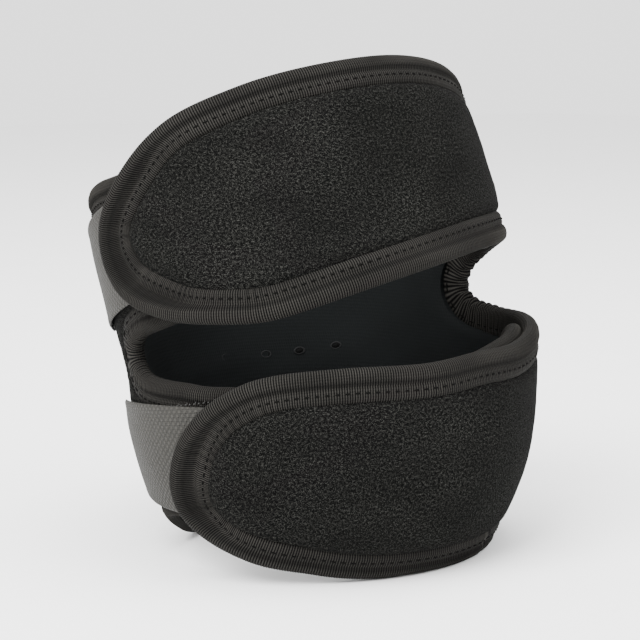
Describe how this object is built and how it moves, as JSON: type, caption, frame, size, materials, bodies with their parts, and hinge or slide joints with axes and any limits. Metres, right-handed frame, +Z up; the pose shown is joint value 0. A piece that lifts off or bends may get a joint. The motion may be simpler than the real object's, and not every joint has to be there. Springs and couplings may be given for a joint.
{
  "type": "elbow pad",
  "caption": "Wrap-around fabric elbow pad, closed as a leaning tube: a tall hub panel, arms inside, and straps outside that close over them with hook tape, with an open slot at the crease.",
  "frame": {"origin": "middle of the bounding box, on the floor under the pad", "axes": "+Z up, +Y towards the tall hub panel at the back, -Y towards the straps at the front"},
  "size_m": [0.1168, 0.121, 0.133],
  "materials": {
    "loop_face": "fuzzy looped pile, matt",
    "foam": "closed-cell sponge, matt",
    "lining": "smooth jersey, matt",
    "binding": "ribbed stretch tape, matt",
    "backing": "woven, slightly shiny",
    "hooks": "fine plastic hooks"
  },
  "bodies": {
    "hub": {"hub_lining": "lining", "hub_foam": "foam", "hub_loop_face": "loop_face", "upper_root_lining": "lining", "upper_root_foam": "foam", "upper_root_loop_face": "loop_face", "lower_root_lining": "lining", "lower_root_foam": "foam", "lower_root_loop_face": "loop_face", "upper_arm_lining": "lining", "upper_arm_foam": "foam", "upper_arm_loop_face": "loop_face", "lower_arm_lining": "lining", "lower_arm_foam": "foam", "lower_arm_loop_face": "loop_face", "hub_foot_binding": "binding", "lower_arm_binding": "binding", "left_notch_binding": "binding", "upper_arm_binding": "binding", "hub_top_binding": "binding", "right_notch_binding": "binding"},
    "upper_strap": {"upper_strap_lining": "lining", "upper_strap_foam": "foam", "upper_strap_loop_face": "loop_face", "upper_strap_binding": "binding", "upper_sewn_tape_backing": "backing", "upper_sewn_tape_hooks": "hooks"},
    "upper_tape_end": {"upper_free_tape_backing": "backing", "upper_free_tape_hooks": "hooks"},
    "lower_strap": {"lower_strap_lining": "lining", "lower_strap_foam": "foam", "lower_strap_loop_face": "loop_face", "lower_strap_binding": "binding", "lower_sewn_tape_backing": "backing", "lower_sewn_tape_hooks": "hooks"},
    "lower_tape_end": {"lower_free_tape_backing": "backing", "lower_free_tape_hooks": "hooks"}
  },
  "joints": [
    {"name": "upper_strap_open", "type": "hinge", "parent": "hub", "child": "upper_strap", "pos_m": [0.02851, -0.03506, 0.10508], "axis": [0, 0.3795, 0.9252], "range_deg": [0, 70]},
    {"name": "lower_strap_open", "type": "hinge", "parent": "hub", "child": "lower_strap", "pos_m": [0.02851, -0.05394, 0.04771], "axis": [0, 0, 1], "range_deg": [0, 70]},
    {"name": "upper_tape_peel", "type": "hinge", "parent": "upper_strap", "child": "upper_tape_end", "pos_m": [-0.05325, 0.0161, 0.08193], "axis": [0, 0.3795, 0.9252], "range_deg": [0, 60]},
    {"name": "lower_tape_peel", "type": "hinge", "parent": "lower_strap", "child": "lower_tape_end", "pos_m": [-0.05255, -0.01175, 0.03029], "axis": [-0.1605, -0.0036, 0.987], "range_deg": [0, 60]}
  ]
}
